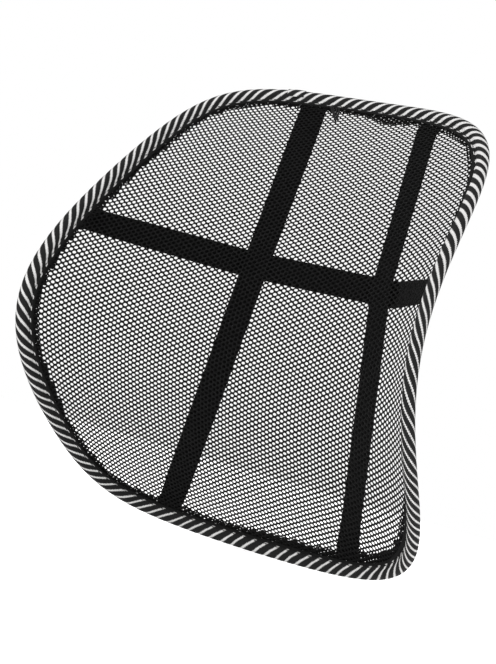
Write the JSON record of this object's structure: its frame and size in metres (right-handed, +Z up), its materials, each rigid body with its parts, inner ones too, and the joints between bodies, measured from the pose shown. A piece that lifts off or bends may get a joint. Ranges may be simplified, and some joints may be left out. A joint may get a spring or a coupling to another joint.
{
  "type": "lumbar support cushion",
  "caption": "Bowed wire ring with a striped, padded binding, a see-through mesh panel, upright straps that hold the bow and an elastic cross strap for a chair back.",
  "frame": {"origin": "centre of the whole object's box", "axes": "+Z up, -Y towards the user's back, +X across the chair; the straps are on the +Y side"},
  "size_m": [0.3566, 0.1546, 0.3768],
  "materials": {
    "wire": "drawn spring steel, hidden inside the edge",
    "ferrule": "crimped plated steel sleeve, hidden inside the edge",
    "foam": "closed-cell foam sleeve, hidden inside the edge",
    "binding": "woven tape, wide charcoal and narrow off-white slanted stripes",
    "selvage": "plain black woven edge of the binding tape",
    "mesh": "open black knitted polyester mesh",
    "thread": "black polyester sewing thread",
    "webbing": "flat black woven webbing",
    "elastic": "flat black elastic webbing"
  },
  "bodies": {
    "cushion": {"frame_wire": "wire", "wire_ferrule": "ferrule", "edge_foam": "foam", "edge_binding": "binding", "binding_end_tab": "binding", "hem_front": "selvage", "hem_back": "selvage", "mesh_panel": "mesh", "seam_thread_front": "thread", "seam_thread_back": "thread", "strap_upright_left": "webbing", "strap_upright_right": "webbing", "strap_cross_span_left": "elastic", "strap_cross_span_right": "elastic"},
    "strap_grip": {"strap_cross_grip": "elastic"}
  },
  "joints": [
    {"name": "strap_pull", "type": "slide", "parent": "cushion", "child": "strap_grip", "axis": [0, 1, 0], "range_m": [0, 0.06], "stiffness_N_per_m": 200, "deforming": ["strap_cross_span_left", "strap_cross_span_right"]}
  ]
}
